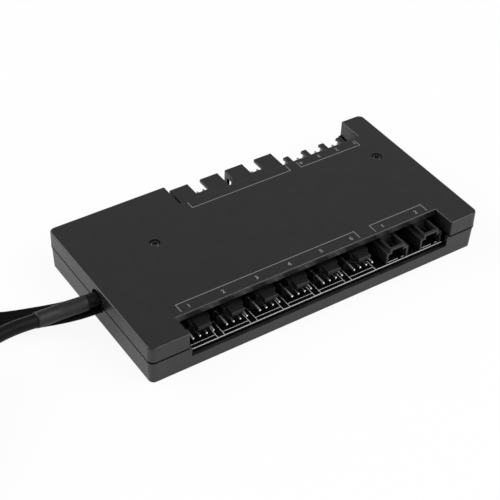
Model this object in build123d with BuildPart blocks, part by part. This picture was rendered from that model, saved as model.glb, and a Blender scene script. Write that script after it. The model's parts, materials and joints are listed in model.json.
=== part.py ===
from build123d import *
import math
import os

# A controller hub for computer fans: a two-part moulded housing round a circuit board, with port
# headers in a front and a back notch, and two captive leads at its left end. Millimetres.
# The origin is the centre of the housing's underside, +X runs along the ports, +Z is up,
# and the fan ports face -Y.

os.makedirs("parts", exist_ok=True)

# Housing plan
housing_length = 133.0
housing_depth = 69.0
corner_radius = 2.3
top_edge_radius = 0.5

# Housing section, from the floor up
floor_thick = 1.8
standoff_height = 2.6
board_thick = 1.6
seam_rise = 3.1  # from the board's top to the lower shell's rim
seam_gap = 0.45
lap_height = 1.9  # the lower shell's tongue inside the cover
header_height = 5.8
lip_gap = 1.2  # between a header's top and the cover's lip
lip_height = 2.5
cover_top = 1.8

board_bottom = floor_thick + standoff_height
board_top = board_bottom + board_thick
shell_rim = board_top + seam_rise
cover_rim = shell_rim + seam_gap
lap_top = shell_rim + lap_height
header_top = board_top + header_height
lip_bottom = header_top + lip_gap
housing_height = lip_bottom + lip_height
cover_under = housing_height - cover_top

# Walls of the lower shell and the cover, and the lap between them
shell_wall = 1.4
shell_step = 0.1  # the lower shell stands back this far under the cover
shell_draft = 2.8  # degrees
shell_corner = 1.9
foot_radius = 0.3
cover_wall = 1.5
rim_thick = 0.8  # the cover's rim outside the tongue
lap_clear = 0.1
lip_thick = 1.6
notch_edge = 0.4  # rounding of the cover's edges round a notch
end_wall = 1.5  # walls that close the two ends of each notch
cut_margin = 2.0  # how far a cutting shape runs past what it cuts

draft_slope = math.tan(math.radians(shell_draft))
rim_length = housing_length - 2 * shell_step
rim_depth = housing_depth - 2 * shell_step
front = -housing_depth / 2
back = housing_depth / 2
left = -housing_length / 2
right = housing_length / 2

# Notches in the cover and windows in the lower shell
front_notch_depth = 8.9
back_notch_depth = 11.0
row_margin = 1.85  # from the first or last header of a row to the notch's end
data_margin = 0.95
sensor_margin = 2.85
window_inset = 0.9  # the lower shell's window is this much shorter at each end
window_drop = 1.0  # the window's sill lies this far below the board's top

# Header rows: centre of the first header, pitch and count
fan_first = -45.05
fan_pitch = 12.8
fan_count = 6
light_first = 33.2
light_pitch = 14.8
light_count = 2
data_first = -9.75
data_pitch = 23.2
data_count = 2
sensor_first = 28.03
sensor_pitch = 8.0
sensor_count = 4

# Square header pins
pin_size = 0.64
pin_clear = 0.02
pin_pitch = 2.54
pin_rise = 3.2  # pin axis above the board
pin_reach = 4.5  # pin tip beyond the header's front face
pin_tail = 1.2  # pin end below the board
pin_chamfer = 0.16
pin_bend_gap = 1.4  # from a header's rear face to the pin's upright leg
pin_hole_radius = 0.5

# Fan and sensor headers with a friction-lock tab
header_depth = 3.0
fan_setback = 7.5  # header's front face behind the housing's face
fan_pins = 4
fan_tab_width = 5.0
fan_tab_shift = 1.25  # tab centre to the right of the header's centre
fan_tab_reach = 3.3
sensor_setback = 8.2
sensor_pins = 2
sensor_tab_width = 2.0
sensor_tab_shift = 1.27
sensor_tab_reach = 4.5
tab_thick = 1.1
tab_rise = 0.2
tab_nub = 0.25
tab_ramp = 0.5
low_rise = 2.5  # low section under the fan header's first pin
web_rise = 3.9
web_thick = 0.4

# Light-strip headers, a shrouded body with a latch channel on top and no floor in its mouth
light_setback = 2.5
light_depth = 9.5
light_width = 9.3
light_body_height = 4.8
latch_width = 6.4
latch_height = 1.4
latch_bridge = 1.0  # left over the channel at the header's face
light_wall = 0.75
light_mouth_depth = 7.0
light_pin_pitch = 2.5
light_pins = 3
light_pin_rise = 2.4
light_pin_setback = 3.0  # pin tip behind the header's face

# Data headers, a two-row shroud with a key slot and a slot in each side wall
data_setback = 2.25
data_depth = 8.35
data_width = 20.0
data_height = 8.8
data_wall = 1.2
data_mouth_depth = 6.5
key_width = 5.2
key_depth = 6.2
key_drop = 2.4
side_slot_width = 2.8
side_slot_rise = 6.4
side_slot_setback = 1.65
data_columns = 5
data_low_rise = 3.13
data_pin_setback = 2.25
data_bend_gap = 2.4

# Cover screws, their bosses and the board's posts
screw_left = (-39.0, 9.55)
screw_right = (55.5, 9.9)
screw_head_radius = 1.7
screw_head_height = 1.9
screw_shank_radius = 1.1
screw_bite = 2.0  # shank length inside the lower boss
screw_edge = 0.45
screw_slot = 0.7
screw_slot_length = 2.1
screw_slot_depth = 0.8
well_radius = 1.9
well_depth = 2.2
screw_clear = 0.1
boss_radius = 3.5
post_radius = 2.0
post_inset = 6.0
screw_points = [screw_left, screw_right]

# Circuit board, inside the drafted walls
board_gap = 0.27
board_left_gap = 6.8
shell_inner_offset = shell_step + shell_wall + (shell_rim - board_bottom) * draft_slope
board_half_depth = housing_depth / 2 - shell_inner_offset - board_gap
board_right = right - shell_inner_offset - board_gap
board_left = left + shell_inner_offset + board_left_gap - board_gap
board_clear = 0.2  # round the screw shanks
board_corner = shell_corner - shell_wall

# Cable exit in the left wall and the bushing behind it
exit_room = 0.7  # round the sleeve's size in the round hole
exit_gap = 0.25  # round the flat lead in its slot
bushing_fit = 0.15
bushing_recess = 1.0
bushing_flange = 1.5
bushing_side = 2.0  # flange past the flat lead at each side
bushing_edge = 0.1  # flange clearance under the cover and over the floor
flange_gap = 0.1
flange_offset = shell_step + shell_wall + (shell_rim - floor_thick) * draft_slope + flange_gap

# Leads
ribbon_width = 9.6
ribbon_thick = 1.9
cable_diameter = 4.7
sleeve_diameter = 5.4
sleeve_clear = 0.1
lead_fit = 0.3  # bushing round the leads
bend_share = 0.45  # of the shorter run beside a bend
sleeve_run = slice(4, 9)  # the data lead's route points under the sleeve
power_socket_height = 2.4
data_socket_rise = 5.1  # the data lead's axis above the board at its socket

# Route points of the power lead, with X from the housing's left end: from its socket, out of
# the bushing, to its wound length
power_route = [
    (left + x, y, z)
    for x, y, z in (
        (9.0, 2.0, board_top + power_socket_height / 2),
        (5.2, 2.0, board_top + power_socket_height / 2),
        (0.5, 2.1, 6.75),
        (-4.5, 2.9, 6.2),
        (-9.5, 4.3, 5.7),
        (-14.5, 6.5, 4.9),
        (-19.5, 9.3, 3.8),
        (-24.5, 12.0, 2.8),
        (-29.5, 14.7, 2.1),
        (-38.0, 20.6, 2.1),
        (-47.5, 27.6, 2.8),
        (-57.0, 34.9, 4.2),
        (-67.0, 42.2, 5.7),
    )
]
power_tail_route = [
    (left + x, y, z)
    for x, y, z in (
        (-142.3, 7.6, 5.7),
        (-142.7, -4.1, 5.4),
        (-138.1, -15.3, 4.5),
        (-129.5, -23.9, 3.5),
        (-118.3, -28.5, 2.7),
        (-106.5, -28.5, 2.7),
    )
]

# Route points of the data lead, over the wound power lead and into its own coil
data_route = [
    (left + x, y, z)
    for x, y, z in (
        (17.5, 0.0, board_top + data_socket_rise),
        (11.0, 0.0, board_top + data_socket_rise),
        (4.5, 0.0, 10.85),
        (0.5, 0.0, 10.6),
        (-3.2, 0.22, 10.37),
        (-7.5, 0.65, 10.15),
        (-12.5, 1.25, 10.0),
        (-17.5, 1.2, 10.15),
        (-22.2, 1.0, 10.55),
        (-28.5, 0.5, 11.6),
        (-35.5, -1.2, 12.9),
        (-42.5, -3.6, 13.9),
        (-54.5, -8.2, 13.8),
        (-63.5, -10.2, 12.2),
        (-72.5, -10.9, 10.3),
        (-81.0, -10.95, 8.8),
        (-89.0, -10.9, 8.1),
        (-96.5, -10.9, 8.0),
    )
]
data_tail_route = [
    (left + x, y, z)
    for x, y, z in (
        (-92.1, -6.0, 3.7),
        (-96.5, -6.0, 3.7),
        (-103.3, -4.2, 3.7),
        (-108.4, 0.6, 3.6),
        (-110.5, 7.3, 3.4),
        (-109.1, 14.1, 3.0),
        (-104.5, 19.5, 2.6),
        (-100.9, 22.0, 2.6),
    )
]

# Wound lengths and ties
coil_lift = 0.8  # room for the tie under a coil
coil_distance = 96.5  # coil centres past the housing's left end
power_coil_centre = (left - coil_distance, 2.0)
power_coil_inner = 45.0
power_coil_outer = 51.3
power_coil_height = 9.8
data_coil_centre = (left - coil_distance, 16.5)
data_coil_inner = 19.6
data_coil_outer = 30.2
data_coil_height = 10.8
tail_clear = 0.1  # coil round the start of the data tail
tie_width = 4.0
tie_thick = 0.6
tie_clear = 0.1
power_tie_angle = 120.0
data_tie_angle = 20.0

# Plugs
power_plug_width = 21.0
power_plug_height = 5.4
power_plug_length = 13.0
power_mouth_width = 17.0
power_mouth_height = 2.6
power_mouth_depth = 8.0
power_key = 1.6
data_plug_width = 12.9
data_plug_height = 5.2
data_plug_length = 14.5
data_contact_size = 0.9
data_contact_depth = 6.0
plug_edge = 0.5

# Parts on the board
chip_size = 10.0
chip_height = 1.4
chip_lift = 0.15
chip_lead_count = 8
chip_lead_pitch = 1.0
driver_length = 4.9
driver_width = 3.9
driver_height = 1.5
driver_lead_count = 4
driver_lead_pitch = 1.27
driver_setback = 19.5
lead_width = 0.4
lead_foot = 0.6
lead_thick = 0.2
chip_spot = (5.0, 2.0)
crystal_spot = (17.0, 3.0)
inductor_spot = (-27.0, 2.0)
capacitor_insets = [(6.8, 13.5), (15.3, 10.5), (24.8, 10.5)]  # from the board's back left corner
capacitor_spots = [(board_left + x, board_half_depth - y) for x, y in capacitor_insets]
capacitor_radius = 3.15
capacitor_height = 5.4
capacitor_base = 6.6
capacitor_base_height = 0.9
capacitor_chamfer = 1.1
crystal_length = 5.0
crystal_width = 3.2
crystal_height = 1.1
crystal_corner = 0.6
inductor_size = 7.0
inductor_height = 3.4
inductor_corner = 1.2
socket_side = 0.9  # power socket past the ribbon at each side
power_socket_length = 6.5
data_socket_length = 7.0
data_socket_width = 8.0
data_socket_height = 7.4
socket_edge = 0.4

fan_centres = [fan_first + fan_pitch * k for k in range(fan_count)]
light_centres = [light_first + light_pitch * k for k in range(light_count)]
data_centres = [data_first + data_pitch * k for k in range(data_count)]
sensor_centres = [sensor_first + sensor_pitch * k for k in range(sensor_count)]
fan_width = fan_pins * pin_pitch
sensor_width = sensor_pins * pin_pitch
exit_radius = sleeve_diameter / 2 + exit_room

# Front and back notch: left end, right end, inner edge and the face that it opens
front_notch = (
    fan_centres[0] - fan_width / 2 - row_margin,
    light_centres[-1] + light_width / 2 + row_margin,
    front + front_notch_depth,
    front,
)
back_notch = (
    data_centres[0] - data_width / 2 - data_margin,
    sensor_centres[-1] + sensor_width / 2 + sensor_margin,
    back - back_notch_depth,
    back,
)


def save(piece, name):
    """Label a finished piece and write it to its own file."""
    piece.part.label = name
    export_step(piece.part, f"parts/{name}.step")


def spread(centre, pitch, count):
    """Evenly spaced positions about a centre."""
    return [centre + pitch * (k - (count - 1) / 2) for k in range(count)]


def span(low_corner, high_corner):
    """A rectangle between two corners of the current sketch."""
    middle = tuple((a + b) / 2 for a, b in zip(low_corner, high_corner))
    with Locations(middle):
        Rectangle(*[abs(b - a) for a, b in zip(low_corner, high_corner)])


def rounded_ring(length, depth, corner, thick):
    """The outline of a wall of even thickness, measured from its outside."""
    RectangleRounded(length, depth, corner)
    RectangleRounded(length - 2 * thick, depth - 2 * thick, corner - thick, mode=Mode.SUBTRACT)


def cut_cable_exit():
    """The round hole across the seam of the left wall, and the flat lead's slot under it."""
    with BuildSketch(Plane.YZ.offset(left - cut_margin)) as opening:
        with Locations(data_route[3][1:]):
            Circle(exit_radius)
        with Locations(power_route[2][1:]):
            SlotOverall(ribbon_width + 2 * exit_gap, ribbon_thick + 2 * exit_gap)
    extrude(opening.sketch, amount=cut_margin + cover_wall + cut_margin, mode=Mode.SUBTRACT)


# Lower shell: a drafted tray with a lap tongue, bosses, posts and the two port windows
with BuildPart() as bottom_shell:
    foot_inset = 2 * shell_rim * draft_slope
    with BuildSketch(Plane.XY):
        RectangleRounded(rim_length - foot_inset, rim_depth - foot_inset, shell_corner)
    extrude(amount=shell_rim, taper=-shell_draft)
    fillet(bottom_shell.edges().group_by(Axis.Z)[0], foot_radius)
    with BuildSketch(Plane.XY.offset(floor_thick)):
        inset = 2 * (shell_rim - floor_thick) * draft_slope + 2 * shell_wall
        RectangleRounded(rim_length - inset, rim_depth - inset, shell_corner - shell_wall)
    extrude(amount=shell_rim - floor_thick, taper=-shell_draft, mode=Mode.SUBTRACT)
    tongue_offset = rim_thick + lap_clear
    tongue_thick = shell_step + shell_wall - tongue_offset
    with BuildSketch(Plane.XY.offset(shell_rim)):
        rounded_ring(
            housing_length - 2 * tongue_offset,
            housing_depth - 2 * tongue_offset,
            corner_radius - tongue_offset,
            tongue_thick,
        )
    extrude(amount=lap_height)
    for notch_left, notch_right, inner, face in (front_notch, back_notch):
        outward = 1 if face > 0 else -1
        with BuildSketch(Plane.XY.offset(shell_rim)):
            span(
                (notch_left - end_wall - lap_clear, face - outward * (end_wall + cut_margin)),
                (notch_right + end_wall + lap_clear, face + outward * cut_margin),
            )
        extrude(amount=lap_height + cut_margin, mode=Mode.SUBTRACT)
        with BuildSketch(Plane.XY.offset(board_top - window_drop)):
            span(
                (notch_left + window_inset, face - outward * (shell_wall + cut_margin)),
                (notch_right - window_inset, face + outward * cut_margin),
            )
        extrude(amount=seam_rise + window_drop + cut_margin, mode=Mode.SUBTRACT)
    cut_cable_exit()
    with BuildSketch(Plane.XY.offset(floor_thick)):
        with Locations(*screw_points):
            Circle(boss_radius)
        with Locations(
            (board_left + post_inset, -board_half_depth + post_inset),
            (board_left + post_inset, board_half_depth - post_inset),
            (board_right - post_inset, board_half_depth - post_inset),
        ):
            Circle(post_radius)
    extrude(amount=standoff_height)
    with Locations(*[(x, y, board_bottom) for x, y in screw_points]):
        Hole(screw_shank_radius + screw_clear, depth=screw_bite + screw_clear)
save(bottom_shell, "bottom_shell")

# Cover: a shallow lid with two notches, their lips and end walls, and two screw wells
with BuildPart() as top_cover:
    with BuildSketch(Plane.XY.offset(cover_rim)):
        RectangleRounded(housing_length, housing_depth, corner_radius)
    extrude(amount=housing_height - cover_rim)
    fillet(top_cover.edges().group_by(Axis.Z)[-1], top_edge_radius)
    with BuildSketch(Plane.XY.offset(cover_rim)):
        RectangleRounded(
            housing_length - 2 * cover_wall,
            housing_depth - 2 * cover_wall,
            corner_radius - cover_wall,
        )
    extrude(amount=cover_under - cover_rim, mode=Mode.SUBTRACT)
    with BuildSketch(Plane.XY.offset(cover_rim)):
        RectangleRounded(
            housing_length - 2 * rim_thick,
            housing_depth - 2 * rim_thick,
            corner_radius - rim_thick,
        )
    extrude(amount=lap_top - cover_rim, mode=Mode.SUBTRACT)
    for notch_left, notch_right, inner, face in (front_notch, back_notch):
        outward = 1 if face > 0 else -1
        lip_edge = inner - outward * lip_thick
        with BuildSketch(Plane.XY.offset(lip_bottom)):
            span((notch_left - end_wall, lip_edge), (notch_right + end_wall, inner))
        extrude(amount=cover_under - lip_bottom)
        with BuildSketch(Plane.XY.offset(cover_rim)):
            for wall_left in (notch_left - end_wall, notch_right):
                span((wall_left, lip_edge), (wall_left + end_wall, face - outward * rim_thick))
        extrude(amount=cover_under - cover_rim)
        with BuildSketch(Plane.XY.offset(cover_rim - cut_margin)):
            span((notch_left, inner), (notch_right, face + outward * cut_margin))
        extrude(amount=housing_height - cover_rim + 2 * cut_margin, mode=Mode.SUBTRACT)
        top_edges = top_cover.edges().group_by(Axis.Z)[-1]
        notch_edges = top_edges.filter_by_position(
            Axis.X, notch_left - lap_clear, notch_right + lap_clear
        ).filter_by_position(Axis.Y, min(inner, face) - lap_clear, max(inner, face) + lap_clear)
        fillet(notch_edges, notch_edge)
    cut_cable_exit()
    with BuildSketch(Plane.XY.offset(board_top)):
        with Locations(*screw_points):
            Circle(boss_radius)
    extrude(amount=cover_under - board_top)
    with Locations(*[(x, y, housing_height) for x, y in screw_points]):
        CounterBoreHole(
            screw_shank_radius + screw_clear,
            well_radius,
            well_depth,
            depth=housing_height - board_top,
        )
save(top_cover, "top_cover")

# Cover screws: pan heads in the wells, shanks through the board into the lower bosses
with BuildPart() as cover_screws:
    seat = housing_height - well_depth
    for x, y in screw_points:
        with Locations((x, y, seat)):
            Cylinder(
                screw_head_radius,
                screw_head_height,
                align=(Align.CENTER, Align.CENTER, Align.MIN),
            )
        shank = seat - board_bottom + screw_bite
        with Locations((x, y, seat)):
            Cylinder(screw_shank_radius, shank, align=(Align.CENTER, Align.CENTER, Align.MAX))
    fillet(cover_screws.edges().group_by(Axis.Z)[-1], screw_edge)
    with BuildSketch(Plane.XY.offset(seat + screw_head_height)):
        with Locations(*screw_points):
            Rectangle(screw_slot, screw_slot_length)
            Rectangle(screw_slot_length, screw_slot)
    extrude(amount=-screw_slot_depth, mode=Mode.SUBTRACT)
save(cover_screws, "cover_screws")

pin_points = []


def add_pins(columns, tip, bend, height, facing):
    """Bent square pins in the current part, with their tips towards facing along Y."""
    half = pin_size / 2
    outer = bend - facing * half
    inner = bend + facing * half
    with BuildSketch(*[Plane.YZ.offset(x - half) for x in columns]) as outlines:
        with BuildLine():
            Polyline(
                (tip, height + half),
                (outer + facing * half, height + half),
                (outer, height),
                (outer, board_bottom - pin_tail),
                (inner, board_bottom - pin_tail),
                (inner, height - half),
                (tip, height - half),
                close=True,
            )
        make_face()
    extrude(outlines.sketch, amount=pin_size)
    pin_points.extend((x, bend) for x in columns)


def sharpen_pins(pins, facing):
    """Chamfer the free tips of a finished group of pins."""
    chamfer(pins.edges().group_by(Axis.Y)[-1 if facing > 0 else 0], pin_chamfer)


def cut_pin_slots(columns, face, depth, height):
    """Square holes through a header's base, from its face inwards."""
    with BuildSketch(Plane.XZ.offset(-face)) as slots:
        with Locations(*[(x, height) for x in columns]):
            Rectangle(pin_size + 2 * pin_clear, pin_size + 2 * pin_clear)
    extrude(slots.sketch, amount=depth, both=True, mode=Mode.SUBTRACT)


def locking_header(name, centre, count, face, facing, tab_centre, tab_width, tab_reach, low_end):
    """A pin header with a friction-lock tab and its row of pins."""
    columns = spread(centre, pin_pitch, count)
    width = count * pin_pitch
    rear = face - facing * header_depth
    pin_height = board_top + pin_rise
    tab_top = header_top + tab_rise
    tab_under = tab_top - tab_thick
    with BuildPart() as header:
        with BuildSketch(Plane.XY.offset(board_top)):
            span((centre - width / 2, rear), (centre + width / 2, face))
        extrude(amount=header_height)
        with BuildSketch(Plane.YZ.offset(tab_centre - tab_width / 2)):
            tip = face + facing * tab_reach
            with BuildLine():
                Polyline(
                    (rear, tab_under),
                    (rear, header_top),
                    (rear + facing * tab_rise, tab_top),
                    (tip - facing * tab_rise, tab_top),
                    (tip, tab_top - tab_rise),
                    (tip, tab_under - tab_nub),
                    (tip - facing * tab_nub, tab_under - tab_nub),
                    (tip - facing * (tab_nub + tab_ramp), tab_under),
                    close=True,
                )
            make_face()
        extrude(amount=tab_width)
        if low_end:
            low_left = centre - width / 2
            with BuildSketch(Plane.XY.offset(board_top + web_rise)):
                span((low_left, rear), (low_left + pin_pitch, face))
            extrude(amount=header_height - web_rise, mode=Mode.SUBTRACT)
            with BuildSketch(Plane.XY.offset(board_top + low_rise)):
                span(
                    (low_left, rear + facing * web_thick),
                    (low_left + pin_pitch, face - facing * web_thick),
                )
            extrude(amount=web_rise - low_rise, mode=Mode.SUBTRACT)
        cut_pin_slots(columns, face, header_depth, pin_height)
    save(header, name)
    with BuildPart() as pins:
        bend = rear - facing * pin_bend_gap
        add_pins(columns, face + facing * pin_reach, bend, pin_height, facing)
        sharpen_pins(pins, facing)
    save(pins, name.replace("header", "pins"))


for k, centre in enumerate(fan_centres, 1):
    locking_header(
        f"fan_header_{k}",
        centre,
        fan_pins,
        front + fan_setback,
        -1,
        centre + fan_tab_shift,
        fan_tab_width,
        fan_tab_reach,
        True,
    )

for k, centre in enumerate(sensor_centres, 1):
    locking_header(
        f"sensor_header_{k}",
        centre,
        sensor_pins,
        back - sensor_setback,
        1,
        centre + sensor_tab_shift,
        sensor_tab_width,
        sensor_tab_reach,
        False,
    )


def light_header(name, centre):
    """A shrouded header with a latch channel in its roof, open behind a bridge, and its pins."""
    face = front + light_setback
    rear = face + light_depth
    body_top = board_top + light_body_height
    latch_top = body_top + latch_height
    columns = spread(centre, light_pin_pitch, light_pins)
    pin_height = board_top + light_pin_rise
    with BuildPart() as header:
        with BuildSketch(Plane.XZ.offset(-rear)):
            span((centre - light_width / 2, board_top), (centre + light_width / 2, body_top))
            span((centre - latch_width / 2, board_top), (centre + latch_width / 2, latch_top))
        extrude(amount=light_depth)
        with BuildSketch(Plane.XZ.offset(-face)):
            mouth = light_width / 2 - light_wall
            channel = latch_width / 2 - light_wall
            span((centre - mouth, board_top), (centre + mouth, body_top - light_wall))
            span((centre - channel, board_top), (centre + channel, latch_top - light_wall))
        extrude(amount=-light_mouth_depth, mode=Mode.SUBTRACT)
        with BuildSketch(Plane.XY.offset(latch_top)):
            span(
                (centre - channel, face + latch_bridge),
                (centre + channel, face + light_mouth_depth),
            )
        extrude(amount=-latch_height, mode=Mode.SUBTRACT)
        cut_pin_slots(columns, face, light_depth, pin_height)
    save(header, name)
    with BuildPart() as pins:
        tip = face + light_pin_setback
        add_pins(columns, tip, rear + pin_bend_gap, pin_height, -1)
        sharpen_pins(pins, -1)
    save(pins, name.replace("header", "pins"))


for k, centre in enumerate(light_centres, 1):
    light_header(f"led_header_{k}", centre)


def data_header(name, centre):
    """A two-row shroud with slots in its top and side walls, and its pins less one corner."""
    face = back - data_setback
    rear = face - data_depth
    top = board_top + data_height
    half = data_width / 2
    low = board_top + data_low_rise
    high = low + pin_pitch
    columns = spread(centre, pin_pitch, data_columns)
    with BuildPart() as header:
        with BuildSketch(Plane.XZ.offset(-rear)):
            span((centre - half, board_top), (centre + half, top))
        extrude(amount=-data_depth)
        with BuildSketch(Plane.XZ.offset(-face)):
            mouth = half - data_wall
            span((centre - mouth, board_top + data_wall), (centre + mouth, top - data_wall))
        extrude(amount=data_mouth_depth, mode=Mode.SUBTRACT)
        with BuildSketch(Plane.XY.offset(top)):
            span((centre - key_width / 2, face - key_depth), (centre + key_width / 2, face))
        extrude(amount=-key_drop, mode=Mode.SUBTRACT)
        slot_face = face - side_slot_setback
        with BuildSketch(Plane.YZ.offset(centre)):
            span(
                (slot_face - side_slot_width, board_top + data_wall),
                (slot_face, board_top + side_slot_rise),
            )
        extrude(amount=half + cut_margin, both=True, mode=Mode.SUBTRACT)
        cut_pin_slots(columns, face, data_depth, low)
        cut_pin_slots(columns[1:], face, data_depth, high)
    save(header, name)
    with BuildPart() as pins:
        tip = face - data_pin_setback
        near = rear - data_bend_gap
        add_pins(columns, tip, near, low, 1)
        add_pins(columns[1:], tip, near - pin_pitch, high, 1)
        sharpen_pins(pins, 1)
    save(pins, name.replace("header", "pins"))


for k, centre in enumerate(data_centres, 1):
    data_header(f"data_header_{k}", centre)

# Circuit board with holes for the header pins and the screw shanks
with BuildPart() as circuit_board:
    with BuildSketch(Plane.XY.offset(board_bottom)):
        with Locations(((board_left + board_right) / 2, 0)):
            RectangleRounded(board_right - board_left, 2 * board_half_depth, board_corner)
        with Locations(*screw_points):
            Circle(screw_shank_radius + board_clear, mode=Mode.SUBTRACT)
        with Locations(*pin_points):
            Circle(pin_hole_radius, mode=Mode.SUBTRACT)
    extrude(amount=board_thick)
save(circuit_board, "circuit_board")


def add_chip(spot, length, width, height, leads, pitch, sides):
    """A chip body just above the board with gull-wing leads along two or four sides."""
    x, y = spot
    with BuildSketch(Plane.XY.offset(board_top + chip_lift)) as body:
        with Locations(spot):
            Rectangle(length, width)
    extrude(body.sketch, amount=height)
    middle = board_top + chip_lift + height / 2
    for turn in range(0, 360, 360 // sides):
        along_x = turn % 180 == 0
        edge = (width if along_x else length) / 2
        rows = spread(0, pitch, leads)
        outward = Vector(0, 1, 0).rotate(Axis.Z, turn)
        side = Plane(origin=(x, y, 0), x_dir=outward, z_dir=Vector(1, 0, 0).rotate(Axis.Z, turn))
        with BuildSketch(*[side.offset(s - lead_width / 2) for s in rows]) as outlines:
            with BuildLine():
                Polyline(
                    (edge, middle),
                    (edge + lead_foot, middle),
                    (edge + lead_foot, board_top + lead_thick),
                    (edge + 2 * lead_foot, board_top + lead_thick),
                    (edge + 2 * lead_foot, board_top),
                    (edge + lead_foot - lead_thick, board_top),
                    (edge + lead_foot - lead_thick, middle - lead_thick),
                    (edge, middle - lead_thick),
                    close=True,
                )
            make_face()
        extrude(outlines.sketch, amount=lead_width)


with BuildPart() as controller_chip:
    add_chip(chip_spot, chip_size, chip_size, chip_height, chip_lead_count, chip_lead_pitch, 4)
save(controller_chip, "controller_chip")

for k, centre in enumerate(fan_centres, 1):
    with BuildPart() as driver_chip:
        add_chip(
            (centre, front + driver_setback),
            driver_length,
            driver_width,
            driver_height,
            driver_lead_count,
            driver_lead_pitch,
            2,
        )
    save(driver_chip, f"driver_chip_{k}")

for k, spot in enumerate(capacitor_spots, 1):
    with BuildPart() as capacitor:
        with BuildSketch(Plane.XY.offset(board_top)):
            with Locations(spot):
                base = Rectangle(capacitor_base, capacitor_base)
            chamfer(base.vertices().sort_by(Axis.X)[-2:], capacitor_chamfer)
        extrude(amount=capacitor_base_height)
        with BuildSketch(Plane.XY.offset(board_top + capacitor_base_height)):
            with Locations(spot):
                Circle(capacitor_radius)
        extrude(amount=capacitor_height - capacitor_base_height)
    save(capacitor, f"capacitor_{k}")

with BuildPart() as crystal:
    with BuildSketch(Plane.XY.offset(board_top)):
        with Locations(crystal_spot):
            RectangleRounded(crystal_length, crystal_width, crystal_corner)
    extrude(amount=crystal_height)
save(crystal, "crystal")

with BuildPart() as inductor:
    with BuildSketch(Plane.XY.offset(board_top)):
        with Locations(inductor_spot):
            RectangleRounded(inductor_size, inductor_size, inductor_corner)
    extrude(amount=inductor_height)
save(inductor, "inductor")

# Sockets on the board where the leads end
with BuildPart() as power_socket:
    x, y = power_route[0][:2]
    half = ribbon_width / 2 + socket_side
    with BuildSketch(Plane.XY.offset(board_top)):
        span((x, y - half), (x + power_socket_length, y + half))
    extrude(amount=power_socket_height)
    chamfer(power_socket.edges().group_by(Axis.Z)[-1], socket_edge)
save(power_socket, "power_socket")

with BuildPart() as data_socket:
    x, y = data_route[0][:2]
    with BuildSketch(Plane.XY.offset(board_top)):
        span((x, y - data_socket_width / 2), (x + data_socket_length, y + data_socket_width / 2))
    extrude(amount=data_socket_height)
    chamfer(data_socket.edges().group_by(Axis.Z)[-1], socket_edge)
save(data_socket, "data_socket")

# Rubber bushing: a neck recessed in the round hole, a flange inside the wall, room for the leads
with BuildPart() as cable_grommet:
    flange_face = left + flange_offset
    ribbon_y, ribbon_z = power_route[2][1:]
    flange_half = ribbon_width / 2 + bushing_side
    with BuildSketch(Plane.YZ.offset(left + bushing_recess)):
        with Locations(data_route[3][1:]):
            Circle(exit_radius - bushing_fit)
    extrude(amount=flange_face - left - bushing_recess)
    with BuildSketch(Plane.YZ.offset(flange_face)):
        span(
            (ribbon_y - flange_half, floor_thick + bushing_edge),
            (ribbon_y + flange_half, cover_under - bushing_edge),
        )
    extrude(amount=bushing_flange)
    with BuildSketch(Plane.YZ.offset(left)):
        with Locations((ribbon_y, ribbon_z)):
            SlotOverall(ribbon_width + 2 * lead_fit, ribbon_thick + 2 * lead_fit)
        with Locations(data_route[3][1:]):
            Circle(cable_diameter / 2 + lead_fit)
    extrude(amount=flange_face + bushing_flange + cut_margin - left, mode=Mode.SUBTRACT)
save(cable_grommet, "cable_grommet")


def bend_radii(points):
    """The largest even bend at each inner point of a lead's route."""
    places = [Vector(*p) for p in points]
    radii = []
    for before, here, after in zip(places, places[1:], places[2:]):
        turn = (here - before).get_angle(after - here)
        shorter = min((here - before).length, (after - here).length)
        radii.append(bend_share * shorter / math.tan(math.radians(turn / 2)))
    return radii


def start_plane(points):
    """The cross-section plane at the start of a route, with its X axis level."""
    along = (Vector(*points[1]) - Vector(*points[0])).normalized()
    return Plane(origin=points[0], x_dir=along.cross(Vector(0, 0, 1)), z_dir=along)


def wound(centre, inner, outer, height):
    """The outer shape of a lead's wound length, in the current part."""
    with BuildSketch(Plane.XY.offset(coil_lift)) as ring:
        with Locations(centre):
            Circle(outer)
            Circle(inner, mode=Mode.SUBTRACT)
    extrude(ring.sketch, amount=height)


def tie(name, centre, inner, outer, height, angle):
    """A band round a wound length at an angle about its centre."""
    outward = Vector(1, 0, 0).rotate(Axis.Z, angle)
    middle = Vector(*centre, coil_lift + height / 2) + outward * ((inner + outer) / 2)
    hole = (outer - inner + 2 * tie_clear, height + 2 * tie_clear)
    band_plane = Plane(origin=middle, x_dir=outward, z_dir=outward.rotate(Axis.Z, 90))
    with BuildPart() as band:
        with BuildSketch(band_plane):
            Rectangle(hole[0] + 2 * tie_thick, hole[1] + 2 * tie_thick)
            Rectangle(*hole, mode=Mode.SUBTRACT)
        extrude(amount=tie_width / 2, both=True)
    save(band, name)


power_coil_size = (power_coil_centre, power_coil_inner, power_coil_outer, power_coil_height)
data_coil_size = (data_coil_centre, data_coil_inner, data_coil_outer, data_coil_height)

with BuildPart() as power_coil:
    wound(*power_coil_size)
save(power_coil, "power_coil")
tie("power_tie", *power_coil_size, power_tie_angle)

with BuildPart() as data_coil:
    wound(*data_coil_size)
    x, y, z = data_tail_route[0]
    room = cable_diameter / 2 + tail_clear
    with BuildSketch(Plane.XY.offset(coil_lift)):
        with Locations(data_coil_centre):
            Circle(data_coil_centre[1] - y + room)
        with Locations((x, data_coil_centre[1])):
            Rectangle(
                2 * data_coil_outer,
                2 * data_coil_outer,
                align=(Align.MAX, Align.MAX),
                mode=Mode.INTERSECT,
            )
    extrude(amount=z + room - coil_lift, mode=Mode.SUBTRACT)
save(data_coil, "data_coil")
tie("data_tie", *data_coil_size, data_tie_angle)


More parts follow.
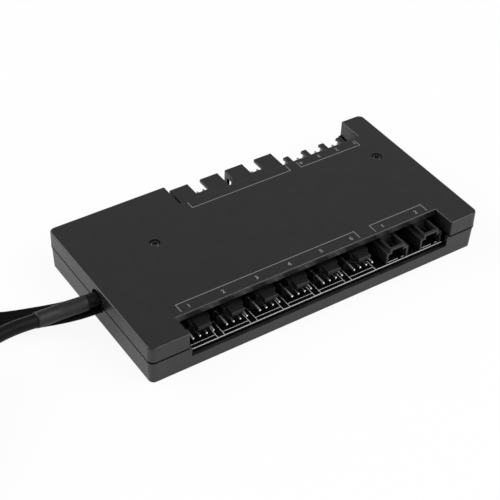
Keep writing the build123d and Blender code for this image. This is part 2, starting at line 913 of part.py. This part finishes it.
def run_lead(name, points, coil, outline, sizes):
    """A lead of one outline along a route, up to its wound length."""
    radii = bend_radii(points)
    with BuildPart() as lead:
        with BuildLine() as route:
            FilletPolyline(*points, radius=radii)
        with BuildSketch(start_plane(points)) as section:
            outline(*sizes)
        sweep(path=route.wire())
        swept = lead.part.volume / (section.sketch.area * route.wire().length)
        add(coil.part, mode=Mode.SUBTRACT)
    print(f"{name}: bends {[round(r, 1) for r in radii]}, volume ratio {swept:.4f}")
    save(lead, name)


ribbon_sizes = (ribbon_width, ribbon_thick)
cable_sizes = (cable_diameter / 2,)
run_lead("power_lead", power_route, power_coil, SlotOverall, ribbon_sizes)
run_lead("power_tail", power_tail_route, power_coil, SlotOverall, ribbon_sizes)
run_lead("data_lead", data_route, data_coil, Circle, cable_sizes)
run_lead("data_tail", data_tail_route, data_coil, Circle, cable_sizes)

# Sleeve over the first stretch of the data lead
with BuildPart() as lead_sleeve:
    points = data_route[sleeve_run]
    with BuildLine() as route:
        FilletPolyline(*points, radius=bend_radii(points))
    with BuildSketch(start_plane(points)):
        Circle(sleeve_diameter / 2)
        Circle(cable_diameter / 2 + sleeve_clear, mode=Mode.SUBTRACT)
    sweep(path=route.wire())
save(lead_sleeve, "lead_sleeve")


def plug_plane(points):
    """The plane of a plug's cable end, level, at the end of a lead's route."""
    along = Vector(*points[-1]) - Vector(*points[-2])
    along = Vector(along.X, along.Y, 0).normalized()
    return Plane(origin=points[-1], x_dir=along.cross(Vector(0, 0, 1)), z_dir=along)


# Power plug: a flat body with a keyed slot in its far face
with BuildPart() as power_plug:
    base = plug_plane(power_tail_route)
    with BuildSketch(base):
        Rectangle(power_plug_width, power_plug_height)
    extrude(amount=power_plug_length)
    chamfer(power_plug.edges().filter_by(Axis(base.origin, base.z_dir)), plug_edge)
    with BuildSketch(base.offset(power_plug_length)):
        Rectangle(power_mouth_width, power_mouth_height)
        with Locations((power_mouth_width / 2 - power_key / 2, -power_mouth_height / 2)):
            Rectangle(power_key, power_key)
    extrude(amount=-power_mouth_depth, mode=Mode.SUBTRACT)
save(power_plug, "power_plug")

# Data plug: a two-row socket with one blind corner
with BuildPart() as data_plug:
    base = plug_plane(data_tail_route)
    with BuildSketch(base):
        Rectangle(data_plug_width, data_plug_height)
    extrude(amount=data_plug_length)
    chamfer(data_plug.edges().filter_by(Axis(base.origin, base.z_dir)), plug_edge)
    with BuildSketch(base.offset(data_plug_length)):
        rows = spread(0, pin_pitch, 2)
        spots = [(u, v) for v in rows for u in spread(0, pin_pitch, data_columns)]
        with Locations(*spots[1:]):
            Rectangle(data_contact_size, data_contact_size)
    extrude(amount=-data_contact_depth, mode=Mode.SUBTRACT)
save(data_plug, "data_plug")
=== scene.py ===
"""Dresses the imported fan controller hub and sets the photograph's view."""

import json
import math

import bmesh
import bpy
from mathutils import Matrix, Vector


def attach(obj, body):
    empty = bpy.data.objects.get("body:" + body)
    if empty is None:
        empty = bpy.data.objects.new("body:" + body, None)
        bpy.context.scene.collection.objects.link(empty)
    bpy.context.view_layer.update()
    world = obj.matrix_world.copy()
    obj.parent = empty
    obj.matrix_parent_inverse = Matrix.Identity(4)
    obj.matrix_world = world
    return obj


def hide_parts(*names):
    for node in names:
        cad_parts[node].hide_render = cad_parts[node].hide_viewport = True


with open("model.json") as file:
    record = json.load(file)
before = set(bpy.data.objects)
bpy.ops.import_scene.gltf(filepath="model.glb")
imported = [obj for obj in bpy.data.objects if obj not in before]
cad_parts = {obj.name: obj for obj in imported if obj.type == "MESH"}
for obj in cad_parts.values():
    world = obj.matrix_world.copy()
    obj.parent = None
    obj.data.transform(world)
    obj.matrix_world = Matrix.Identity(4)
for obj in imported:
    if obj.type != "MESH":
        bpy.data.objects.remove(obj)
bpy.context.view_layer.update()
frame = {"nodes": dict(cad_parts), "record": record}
nodes = frame["nodes"]

# Sizes are in millimetres, as in the CAD, and become metres where a piece is made
MM = 0.001
HALF_LENGTH = 66.5  # housing's half length, along X
HALF_DEPTH = 34.5  # housing's half depth, along Y
LEFT = -HALF_LENGTH  # housing's left end
TOP = 15.5  # cover's top face
BOARD_TOP = 6.0
FAN_CENTRES = [-45.05 + 12.8 * k for k in range(6)]
LIGHT_CENTRES = (33.2, 48.0)

# Routes of the two leads: the CAD's own points, with X from the housing's left end
POWER_ROUTE = [
    (9.0, 2.0, 7.2),
    (5.2, 2.0, 7.2),
    (0.5, 2.1, 6.75),
    (-4.5, 2.9, 6.2),
    (-9.5, 4.3, 5.7),
    (-14.5, 6.5, 4.9),
    (-19.5, 9.3, 3.8),
    (-24.5, 12.0, 2.8),
    (-29.5, 14.7, 2.1),
    (-38.0, 20.6, 2.1),
    (-47.5, 27.6, 2.8),
    (-57.0, 34.9, 4.2),
    (-67.0, 42.2, 5.7),
]
POWER_TAIL = [
    (-142.3, 7.6, 5.7),
    (-142.7, -4.1, 5.4),
    (-138.1, -15.3, 4.5),
    (-129.5, -23.9, 3.5),
    (-118.3, -28.5, 2.7),
    (-106.5, -28.5, 2.7),
]
DATA_ROUTE = [
    (17.5, 0.0, 11.1),
    (11.0, 0.0, 11.1),
    (4.5, 0.0, 10.85),
    (0.5, 0.0, 10.6),
    (-3.2, 0.22, 10.37),
    (-7.5, 0.65, 10.15),
    (-12.5, 1.25, 10.0),
    (-17.5, 1.2, 10.15),
    (-22.2, 1.0, 10.55),
    (-28.5, 0.5, 11.6),
    (-35.5, -1.2, 12.9),
    (-42.5, -3.6, 13.9),
    (-54.5, -8.2, 13.8),
    (-63.5, -10.2, 12.2),
    (-72.5, -10.9, 10.3),
    (-81.0, -10.95, 8.8),
    (-89.0, -10.9, 8.1),
    (-96.5, -10.9, 8.0),
]
DATA_TAIL = [
    (-103.3, -4.2, 3.7),
    (-108.4, 0.6, 3.6),
    (-110.5, 7.3, 3.4),
    (-109.1, 14.1, 3.0),
    (-104.5, 19.5, 2.6),
    (-100.9, 22.0, 2.6),
]

# The wound lengths: route points in a turn, and each coil's middle, radius and height
TURN_POINTS = 16
POWER_COIL = (-96.5, 2.0)
POWER_COIL_POINTS = 20
POWER_COIL_RADIUS = 50.3
POWER_COIL_STEP = 3.45  # how far a turn winds inwards
POWER_COIL_HEIGHT = 5.7
DATA_COIL = (-96.5, 16.5)
DATA_COIL_TURNS = 2
DATA_COIL_START = math.radians(270)
DATA_COIL_RADIUS = 27.4
DATA_COIL_STEP = 4.9  # from the upper turn inwards to the lower one
DATA_COIL_HEIGHT = 8.0
DATA_COIL_DROP = 4.8  # from the upper turn down to the lower one
DATA_COIL_RISE = 0.5  # up again to the tail
STEP_TURNS = (1.0, 1.6)  # turns between which each of the three happens
DROP_TURNS = (0.5, 1.0)
RISE_TURNS = (1.4, 2.0)

# Sections of the leads and the sleeve
RIBBON_WIDTH = 9.6
RIBBON_CORES = 5
CORE_STEPS = 5
GROOVE_ANGLE = 30  # degrees above the ribbon's middle, where two cores meet
CABLE_DIAMETER = 4.7
SLEEVE_DIAMETER = 5.4
SLEEVE_WALL = 0.28
SLEEVE_FIRST = 4  # points of the data route between which the sleeve lies
SLEEVE_LAST = 8
SLEEVE_SIDES = 32
SLEEVE_TAPER = 0.12  # how far the sleeve's ends are drawn in
SLEEVE_TAPER_LENGTH = 1.2
RIPPLE_HEIGHT = 0.05
RIPPLE_LOBES = 3  # ripples round the sleeve
RIPPLE_TWIST = 0.45  # radians per millimetre along it
RIPPLE_RATE = 0.8  # radians per millimetre along it

# Where the ribbon turns on edge and lies flat again, in metres along it
TWIST_FROM = 0.058
TWIST_TO = 0.118
UNTWIST_LENGTH = 0.05
FLAT_END = 0.012

# The dark band that paints the seam's shadow: insets from the housing's faces, heights and
# openings
SEAM_OUTER = 0.05
SEAM_MIDDLE = 0.1
SEAM_INNER = 0.6
SEAM_LOW = 8.85
SEAM_RIM = 9.12
SEAM_HIGH = 9.53
SEAM_CORNER = 2.0
CORNER_STEPS = 6
EXIT_HALF = 3.6  # half of the opening at the cable exit
FRONT_NOTCH = (-52.1, 54.6)
BACK_NOTCH = (-20.8, 57.5)

# Print on the cover and the board, and a light line along the board's front edge
PRINT_HEIGHT = 0.02
BRACKET_WIDTH = 0.28
BRACKETS = [  # left and right end, the long line's Y, and the legs' ends in Y
    (-49.05, 22.2, -20.6, -24.2),
    (28.8, 51.3, -20.8, -24.5),
    (-18.2, 23.35, 19.15, 22.3),
    (27.9, 54.3, 18.8, 22.0),
]
NUMBER_SIZE = 2.3
NUMBER_WEIGHT = 0.06  # widens the strokes
NUMBER_ROWS = [  # numbers, their places along X, the row's Y and its turn
    ("123456", (-45.5, -32.45, -19.3, -6.3, 6.7, 19.3), -23.1, 0),
    ("12", (32.7, 47.2), -23.3, 0),
    ("4321", (29.3, 37.3, 45.3, 53.3), 21.0, 180),
]
FAN_LINE_WIDTH = 0.2
FAN_SIDE = 5.1  # from a fan header's middle to the lines beside it
FAN_SIDE_ENDS = (-24.7, -32.0)
FAN_CROSS = 4.89  # half of the line across, which stops short of those beside it
FAN_CROSS_Y = -30.58
LIGHT_LINE_WIDTH = 0.26
LIGHT_LINES = ((-3.7, 0.9), (2.6, 3.7))  # ends, from a light header's middle
LIGHT_LINE_Y = -31.35
EDGE_LINE_WIDTH = 0.36
EDGE_LINE_ENDS = (-50.6, 53.0)
EDGE_LINE_Y = -32.3

# Camera and stage, in metres and degrees
CAMERA_PLACE = (-0.216313, -0.300094, 0.316892)
CAMERA_TURN = (49.5396, -1.8607, -33.3856)
CAMERA_LENS = 99.41
CAMERA_SENSOR = 36.0
FLOOR_SIZE = 8.0
FLOOR_HEIGHT = -0.0002
FLOOR_SEEN = 0.92  # share of plain white that the camera sees on the floor
FLOOR_MIRRORED = 0.35  # the same share in reflections
WORLD_STRENGTH = 0.4
LAMPS = [  # name, place, width and height, and power
    ("left_softbox", (-1.05, 0.8, 0.7), (1.8, 1.2), 21),
    ("right_softbox", (0.7, -0.6, 1.0), (0.9, 0.9), 10),
    ("front_softbox", (0.2, -1.3, 0.5), (2.0, 0.9), 6),
]

# Noises in the materials
NOISE_LOW = 0.3  # most of a noise lies between these two values
NOISE_HIGH = 0.7
BROAD_SCALE = 12  # size of the broad noise's features, as a multiple of the grain
BROAD_DETAIL = 4.0
FINE_DETAIL = 2.0
BUMP_STRENGTH = 0.6


def mm(point):
    """A point in metres."""
    return Vector(point) * MM


def from_left(point):
    """A route point in metres, in the shared frame."""
    return mm(Vector(point) + Vector((LEFT, 0, 0)))


def share(value, low, high):
    """How far a value lies from low to high, from 0 to 1."""
    return min(1.0, max(0.0, (value - low) / (high - low)))


def ease(value):
    """A smooth step from 0 to 1."""
    return value * value * (3 - 2 * value)


def to_scene(obj):
    """Puts an object in the scene."""
    bpy.context.scene.collection.objects.link(obj)
    return obj


def link(obj):
    """Puts a piece in the scene, on the part's body."""
    to_scene(obj)
    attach(obj, "root")
    return obj


def mesh_piece(name, bm, material, smooth=False):
    """A piece made from a bmesh."""
    bmesh.ops.recalc_face_normals(bm, faces=bm.faces)
    mesh = bpy.data.meshes.new(name)
    bm.to_mesh(mesh)
    bm.free()
    mesh.polygons.foreach_set("use_smooth", [smooth] * len(mesh.polygons))
    mesh.materials.append(material)
    return link(bpy.data.objects.new(name, mesh))


def skin(bm, first, second):
    """Faces between two rings of vertices."""
    for a, b, c, d in zip(first, first[1:] + first[:1], second[1:] + second[:1], second):
        bm.faces.new((a, b, c, d))


def tube(bm, rings, joined=False):
    """A tube through rings of places, with its ends closed or joined to each other."""
    made = [[bm.verts.new(place) for place in ring] for ring in rings]
    for first, second in zip(made, made[1:]):
        skin(bm, first, second)
    if joined:
        skin(bm, made[-1], made[0])
    else:
        bm.faces.new(made[0])
        bm.faces.new(made[-1][::-1])


# Materials


def new_material(name):
    """A material with nodes, its node tree and its main shader."""
    material = bpy.data.materials.new(name)
    material.use_nodes = True
    tree = material.node_tree
    return material, tree, tree.nodes["Principled BSDF"]


def noise(tree, place, scale, detail):
    """A noise over the surface, with features per metre."""
    node = tree.nodes.new("ShaderNodeTexNoise")
    node.inputs["Scale"].default_value = scale
    node.inputs["Detail"].default_value = detail
    tree.links.new(place, node.inputs["Vector"])
    return node.outputs["Fac"]


def vary_colour(tree, shader, fac, shades):
    """Base colour between two shades by a pattern."""
    ramp = tree.nodes.new("ShaderNodeValToRGB")
    for element, position, shade in zip(ramp.color_ramp.elements, (NOISE_LOW, NOISE_HIGH), shades):
        element.position = position
        element.color = (*shade, 1)
    tree.links.new(fac, ramp.inputs["Fac"])
    tree.links.new(ramp.outputs["Color"], shader.inputs["Base Color"])


def vary_roughness(tree, shader, fac, low, high):
    """Roughness between two values by a pattern."""
    spread = tree.nodes.new("ShaderNodeMapRange")
    spread.inputs["From Min"].default_value = NOISE_LOW
    spread.inputs["From Max"].default_value = NOISE_HIGH
    spread.inputs["To Min"].default_value = low
    spread.inputs["To Max"].default_value = high
    tree.links.new(fac, spread.inputs["Value"])
    tree.links.new(spread.outputs["Result"], shader.inputs["Roughness"])


def add_bump(tree, shader, fac, height):
    """Bump from a pattern, with its height in millimetres."""
    bump = tree.nodes.new("ShaderNodeBump")
    bump.inputs["Strength"].default_value = BUMP_STRENGTH
    bump.inputs["Distance"].default_value = height * MM
    tree.links.new(fac, bump.inputs["Height"])
    tree.links.new(bump.outputs["Normal"], shader.inputs["Normal"])


def surface(name, greys, roughness, grain, height, metallic=0.0, specular=0.5, warm=0.0):
    """A finish with two greys, a roughness range and a fine grain."""
    shades = [(value * (1 + warm), value, value * (1 - warm)) for value in greys]
    material, tree, shader = new_material(name)
    shader.inputs["Base Color"].default_value = (*shades[0], 1)
    shader.inputs["Roughness"].default_value = roughness[0]
    shader.inputs["Metallic"].default_value = metallic
    shader.inputs["Specular IOR Level"].default_value = specular
    place = tree.nodes.new("ShaderNodeTexCoord").outputs["Object"]
    fine = noise(tree, place, grain, FINE_DETAIL)
    vary_colour(tree, shader, noise(tree, place, grain / BROAD_SCALE, BROAD_DETAIL), shades)
    vary_roughness(tree, shader, fine, *roughness)
    add_bump(tree, shader, fine, height)
    return material


finishes = {
    "housing": surface("housing_plastic", (0.008, 0.010), (0.27, 0.35), 2600, 0.02),
    "board": surface("board_mask", (0.0015, 0.0025), (0.35, 0.45), 900, 0.01, specular=0.1),
    "header": surface("header_plastic", (0.006, 0.008), (0.2, 0.28), 1800, 0.008, specular=0.16),
    "pin": surface("pin_tin", (0.44, 0.54), (0.3, 0.42), 2500, 0.004, metallic=1.0, warm=0.02),
    "chip": surface("chip_body", (0.012, 0.018), (0.45, 0.6), 3000, 0.01),
    "can": surface("can_metal", (0.6, 0.7), (0.25, 0.35), 1500, 0.004, metallic=1.0),
    "screw": surface("screw_steel", (0.09, 0.12), (0.22, 0.34), 2200, 0.01, metallic=1.0),
    "socket": surface("socket_nylon", (0.5, 0.58), (0.4, 0.5), 1600, 0.006, warm=0.08),
    "bushing": surface("bushing_rubber", (0.006, 0.009), (0.65, 0.8), 2000, 0.02),
    "ribbon": surface("ribbon_jacket", (0.002, 0.003), (0.5, 0.65), 1800, 0.015, specular=0.05),
    "cable": surface("cable_jacket", (0.004, 0.005), (0.4, 0.5), 1800, 0.015, specular=0.1),
    "sleeve": surface("sleeve_film", (0.010, 0.014), (0.4, 0.5), 1400, 0.03, specular=0.32),
    "tie": surface("tie_band", (0.01, 0.014), (0.5, 0.65), 1800, 0.015),
    "plug": surface("plug_plastic", (0.012, 0.016), (0.4, 0.5), 1800, 0.01),
}
print_ink = surface("print_ink", (0.17, 0.2), (0.5, 0.6), 2500, 0.006)
# Near-black and without sheen, for the band that paints the seam's shadow
seam_shade = surface("seam_shade", (0.002, 0.003), (0.8, 0.9), 2000, 0.01, specular=0.0)
silk_ink = surface("silk_ink", (0.55, 0.65), (0.5, 0.6), 2500, 0.006)
back_header = surface("back_header_plastic", (0.008, 0.010), (0.26, 0.34), 1800, 0.008)
light_header = surface("light_header_plastic", (0.012, 0.015), (0.26, 0.34), 1800, 0.008)

for part in frame["record"]["subparts"]:
    name = part["node"]
    finish = finishes[part["material_slot"]]
    if name.startswith(("data_header", "sensor_header")):
        finish = back_header
    elif name.startswith("led_header"):
        finish = light_header
    nodes[name].data.materials.clear()
    nodes[name].data.materials.append(finish)

# Camera at the photograph's view
camera_data = bpy.data.cameras.new("photo_camera")
camera_data.lens = CAMERA_LENS
camera_data.sensor_width = CAMERA_SENSOR
camera = to_scene(bpy.data.objects.new("photo_camera", camera_data))
camera.location = CAMERA_PLACE
camera.rotation_euler = [math.radians(angle) for angle in CAMERA_TURN]
bpy.context.scene.camera = camera

# Cords


def wound(coil, radius, angle, height):
    """A point of a wound length, about its coil's middle."""
    return (coil[0] + radius * math.cos(angle), coil[1] + radius * math.sin(angle), height)


def power_lead_points():
    """The power lead's route, its wound length and its tail."""
    points = list(POWER_ROUTE)
    end = POWER_ROUTE[-1]
    start = math.atan2(end[1] - POWER_COIL[1], end[0] - POWER_COIL[0])
    for k in range(1, POWER_COIL_POINTS + 1):
        turn = k / TURN_POINTS
        radius = POWER_COIL_RADIUS - POWER_COIL_STEP * turn
        points.append(wound(POWER_COIL, radius, start + 2 * math.pi * turn, POWER_COIL_HEIGHT))
    return points + POWER_TAIL


def data_lead_points():
    """The data lead's route, an upper turn, a lower one inside it, and its tail."""
    points = list(DATA_ROUTE)
    for k in range(1, DATA_COIL_TURNS * TURN_POINTS + 1):
        turn = k / TURN_POINTS
        radius = DATA_COIL_RADIUS - DATA_COIL_STEP * share(turn, *STEP_TURNS)
        height = DATA_COIL_HEIGHT - DATA_COIL_DROP * share(turn, *DROP_TURNS)
        height += DATA_COIL_RISE * share(turn, *RISE_TURNS)
        points.append(wound(DATA_COIL, radius, DATA_COIL_START - 2 * math.pi * turn, height))
    return points + DATA_TAIL


def route_curve(name, points, radius=0.0):
    """A smooth curve with the route's points as its control points."""
    curve = bpy.data.curves.new(name, "CURVE")
    curve.dimensions = "3D"
    curve.resolution_u = 8
    curve.bevel_depth = radius * MM
    curve.bevel_resolution = 6
    curve.use_fill_caps = True
    spline = curve.splines.new("NURBS")
    spline.points.add(len(points) - 1)
    for point, place in zip(spline.points, points):
        point.co = (*from_left(place), 1)
    spline.order_u = 3
    spline.use_endpoint_u = True
    return bpy.data.objects.new(name, curve)


def line_points(points):
    """Points along the smooth line of a route."""
    bare = route_curve("bare_line", points)
    mesh = bpy.data.meshes.new_from_object(bare)
    line = [vertex.co.copy() for vertex in mesh.vertices]
    bpy.data.meshes.remove(mesh)
    bpy.data.objects.remove(bare)
    return line


def line_frames(line):
    """Each point's distance along the line, its place, a level side and the way up."""
    frames = []
    run = 0.0
    for k, here in enumerate(line):
        before = line[max(k - 1, 0)]
        after = line[min(k + 1, len(line) - 1)]
        run += (here - before).length
        along = (after - before).normalized()
        side = along.cross(Vector((0, 0, 1))).normalized()
        frames.append((run, here, side, side.cross(along)))
    return frames


def ribbon_profile():
    """The ribbon's section: a row of round cores that meet in grooves."""
    core_radius = RIBBON_WIDTH / RIBBON_CORES / 2
    rim = []
    for core in range(RIBBON_CORES):
        middle = -RIBBON_WIDTH / 2 + core_radius * (2 * core + 1)
        first = 180 if core == 0 else 180 - GROOVE_ANGLE
        last = 0 if core == RIBBON_CORES - 1 else GROOVE_ANGLE
        for step in range(CORE_STEPS + 1):
            angle = math.radians(first + (last - first) * step / CORE_STEPS)
            rim.append((middle + core_radius * math.cos(angle), core_radius * math.sin(angle)))
    return rim + [(u, -v) for u, v in reversed(rim[1:-1])]


def ribbon_rings(frames):
    """Rings of the ribbon, flat at the hub and at the plug, and on edge in its coil."""
    profile = ribbon_profile()
    untwist_to = frames[-1][0] - FLAT_END
    untwist_from = untwist_to - UNTWIST_LENGTH
    rings = []
    for run, here, side, up in frames:
        turn = ease(share(run, TWIST_FROM, TWIST_TO)) - ease(share(run, untwist_from, untwist_to))
        angle = math.pi / 2 * turn
        across = side * math.cos(angle) + up * math.sin(angle)
        over = up * math.cos(angle) - side * math.sin(angle)
        rings.append([here + (across * u + over * v) * MM for u, v in profile])
    return rings


def sleeve_rings(frames, wall, ripple):
    """Rings of one face of the sleeve, a wall's thickness in, with its ends drawn in."""
    start = frames[0][0]
    length = frames[-1][0] - start
    rings = []
    for run, here, side, up in frames:
        along = (run - start) / MM
        end = min(along, length / MM - along)
        taper = SLEEVE_TAPER * (1 - ease(share(end, 0, SLEEVE_TAPER_LENGTH)))
        radius = SLEEVE_DIAMETER / 2 - wall - taper
        ring = []
        for k in range(SLEEVE_SIDES):
            angle = 2 * math.pi * k / SLEEVE_SIDES
            wave = math.sin(RIPPLE_LOBES * angle + along * RIPPLE_TWIST)
            reach = (radius + ripple * wave * math.sin(along * RIPPLE_RATE)) * MM
            ring.append(here + (side * math.cos(angle) + up * math.sin(angle)) * reach)
        rings.append(ring)
    return rings


# Power lead: a ribbon of round cores
ribbon_line = line_points(power_lead_points())
ribbon_frames = line_frames(ribbon_line)
bm = bmesh.new()
tube(bm, ribbon_rings(ribbon_frames))
power_cord = mesh_piece("power_ribbon", bm, finishes["ribbon"], smooth=True)
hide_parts("power_lead", "power_coil", "power_tail")

# Data lead: a round cable with a sleeve over its first stretch
data_points = data_lead_points()
data_cord = route_curve("data_cable", data_points, CABLE_DIAMETER / 2)
data_cord.data.materials.append(finishes["cable"])
link(data_cord)
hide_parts("data_lead", "data_coil", "data_tail")

data_frames = line_frames(line_points(data_points))
sleeve_left = from_left(DATA_ROUTE[SLEEVE_LAST]).x
sleeve_right = from_left(DATA_ROUTE[SLEEVE_FIRST]).x
sleeve_frames = [f for f in data_frames if sleeve_left < f[1].x < sleeve_right]
outside = sleeve_rings(sleeve_frames, 0.0, RIPPLE_HEIGHT)
inside = sleeve_rings(sleeve_frames, SLEEVE_WALL, 0.0)
bm = bmesh.new()
tube(bm, outside + inside[::-1], joined=True)
sleeve = mesh_piece("data_sleeve", bm, finishes["sleeve"], smooth=True)
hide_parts("lead_sleeve")

# Painted shadow in the seam between the two shells: a near-black band in the gap and over the top
# of the lower shell's rim, open at the notches and at the cable exit


def seam_runs(inset):
    """The housing's outline, moved inwards, in three runs: left front, right and left back."""
    half_x = HALF_LENGTH - inset
    half_y = HALF_DEPTH - inset
    radius = SEAM_CORNER - inset

    def corner(x, y, start):
        """Points round the corner on one side in X and in Y, from an angle on."""
        middle_x = x * (half_x - radius)
        middle_y = y * (half_y - radius)
        angles = [math.radians(start + 90 / CORNER_STEPS * k) for k in range(CORNER_STEPS + 1)]
        return [(middle_x + radius * math.cos(a), middle_y + radius * math.sin(a)) for a in angles]

    left_front = [(-half_x, -EXIT_HALF), *corner(-1, -1, 180), (FRONT_NOTCH[0], -half_y)]
    right = [(FRONT_NOTCH[1], -half_y), *corner(1, -1, 270)]
    right += [*corner(1, 1, 0), (BACK_NOTCH[1], half_y)]
    left_back = [(BACK_NOTCH[0], half_y), *corner(-1, 1, 90), (-half_x, EXIT_HALF)]
    return left_front, right, left_back


def seam_ring(outer, middle, inner):
    """The painted shadow band's section at one place of the outline: it laps over the lower
    shell's rim.
    """
    section = [(outer, SEAM_LOW), (outer, SEAM_HIGH), (inner, SEAM_HIGH)]
    section += [(inner, SEAM_RIM), (middle, SEAM_RIM), (middle, SEAM_LOW)]
    return [mm((*place, z)) for place, z in section]


bm = bmesh.new()
for run in zip(seam_runs(SEAM_OUTER), seam_runs(SEAM_MIDDLE), seam_runs(SEAM_INNER)):
    tube(bm, [seam_ring(*places) for places in zip(*run)])
mesh_piece("painted_seam_shadow", bm, seam_shade)

# Printed lines and numbers on the cover, printed outlines on the board, and a light line along the
# board's front edge


def add_line(bm, path, width, low):
    """A thin raised line along a level path, with mitred corners and square ends."""
    places = [Vector(point) for point in path]
    ways = [(b - a).normalized() for a, b in zip(places, places[1:])]
    places[0] -= ways[0] * width / 2
    places[-1] += ways[-1] * width / 2
    sides = [Vector((-way.y, way.x)) for way in ways]
    left = []
    right = []
    for place, before, after in zip(places, sides[:1] + sides, sides + sides[-1:]):
        reach = (before + after) / (1 + before.dot(after)) * width / 2
        left.append(place + reach)
        right.append(place - reach)
    outline = left + right[::-1]
    tube(bm, [[mm((*place, z)) for place in outline] for z in (low, low + PRINT_HEIGHT)])


bm = bmesh.new()
for left, right, y, leg in BRACKETS:
    add_line(bm, [(left, leg), (left, y), (right, y), (right, leg)], BRACKET_WIDTH, TOP)
mesh_piece("cover_brackets", bm, print_ink)

bm = bmesh.new()
for centre in FAN_CENTRES:
    for x in (centre - FAN_SIDE, centre + FAN_SIDE):
        add_line(bm, [(x, y) for y in FAN_SIDE_ENDS], FAN_LINE_WIDTH, BOARD_TOP)
    cross = [(centre - FAN_CROSS, FAN_CROSS_Y), (centre + FAN_CROSS, FAN_CROSS_Y)]
    add_line(bm, cross, FAN_LINE_WIDTH, BOARD_TOP)
for centre in LIGHT_CENTRES:
    for ends in LIGHT_LINES:
        line = [(centre + x, LIGHT_LINE_Y) for x in ends]
        add_line(bm, line, LIGHT_LINE_WIDTH, BOARD_TOP)
# A light line along the board's front edge, in the same light ink as the outlines
add_line(bm, [(x, EDGE_LINE_Y) for x in EDGE_LINE_ENDS], EDGE_LINE_WIDTH, BOARD_TOP)
mesh_piece("board_outlines", bm, silk_ink)


def number(text, x, y, turn):
    """A printed number on the cover, turned about its middle."""
    curve = bpy.data.curves.new("number", "FONT")
    curve.body = text
    curve.align_x = "CENTER"
    curve.align_y = "CENTER"
    curve.size = NUMBER_SIZE * MM
    curve.extrude = PRINT_HEIGHT * MM / 2
    curve.offset = NUMBER_WEIGHT * MM
    curve.resolution_u = 3
    curve.materials.append(print_ink)
    obj = bpy.data.objects.new(f"number_{text}_{round(x)}", curve)
    obj.location = mm((x, y, TOP + PRINT_HEIGHT / 2))
    obj.rotation_euler = (0, 0, math.radians(turn))
    link(obj)


for digits, places, y, turn in NUMBER_ROWS:
    for digit, x in zip(digits, places):
        number(digit, x, y, turn)

# Stage: a white floor that keeps a faint shadow, and soft lamps


def seen_share(tree, seen, mirrored):
    """One share for camera rays and another for glossy and transmission rays."""
    path = tree.nodes.new("ShaderNodeLightPath")
    total = None
    for name, part in (
        ("Is Camera Ray", seen),
        ("Is Glossy Ray", mirrored),
        ("Is Transmission Ray", mirrored),
    ):
        scaled = tree.nodes.new("ShaderNodeMath")
        scaled.operation = "MULTIPLY"
        scaled.inputs[1].default_value = part
        tree.links.new(path.outputs[name], scaled.inputs[0])
        if total is None:
            total = scaled.outputs["Value"]
            continue
        both = tree.nodes.new("ShaderNodeMath")
        both.operation = "MAXIMUM"
        tree.links.new(total, both.inputs[0])
        tree.links.new(scaled.outputs["Value"], both.inputs[1])
        total = both.outputs["Value"]
    return total


floor_material, tree, diffuse = new_material("white_floor")
diffuse.inputs["Base Color"].default_value = (0.8, 0.8, 0.8, 1)
diffuse.inputs["Roughness"].default_value = 0.9
glow = tree.nodes.new("ShaderNodeEmission")
glow.inputs["Strength"].default_value = 1.0
blend = tree.nodes.new("ShaderNodeMixShader")
tree.links.new(seen_share(tree, FLOOR_SEEN, FLOOR_MIRRORED), blend.inputs["Fac"])
tree.links.new(diffuse.outputs["BSDF"], blend.inputs[1])
tree.links.new(glow.outputs["Emission"], blend.inputs[2])
tree.links.new(blend.outputs["Shader"], tree.nodes["Material Output"].inputs["Surface"])
bm = bmesh.new()
bmesh.ops.create_grid(bm, x_segments=1, y_segments=1, size=FLOOR_SIZE)
floor_mesh = bpy.data.meshes.new("floor")
bm.to_mesh(floor_mesh)
bm.free()
floor_mesh.materials.append(floor_material)
floor = to_scene(bpy.data.objects.new("floor", floor_mesh))
floor.location = (0, 0, FLOOR_HEIGHT)

world = bpy.data.worlds.new("studio")
bpy.context.scene.world = world
world.use_nodes = True
background = world.node_tree.nodes["Background"]
background.inputs["Color"].default_value = (1, 1, 1, 1)
background.inputs["Strength"].default_value = WORLD_STRENGTH


def lamp(name, place, size, power):
    """A soft lamp that faces the part."""
    data = bpy.data.lights.new(name, "AREA")
    data.shape = "RECTANGLE"
    data.size, data.size_y = size
    data.energy = power
    obj = to_scene(bpy.data.objects.new(name, data))
    obj.location = place
    obj.rotation_euler = (-Vector(place)).to_track_quat("-Z", "Y").to_euler()


for row in LAMPS:
    lamp(*row)

bpy.context.scene.view_settings.view_transform = "Standard"
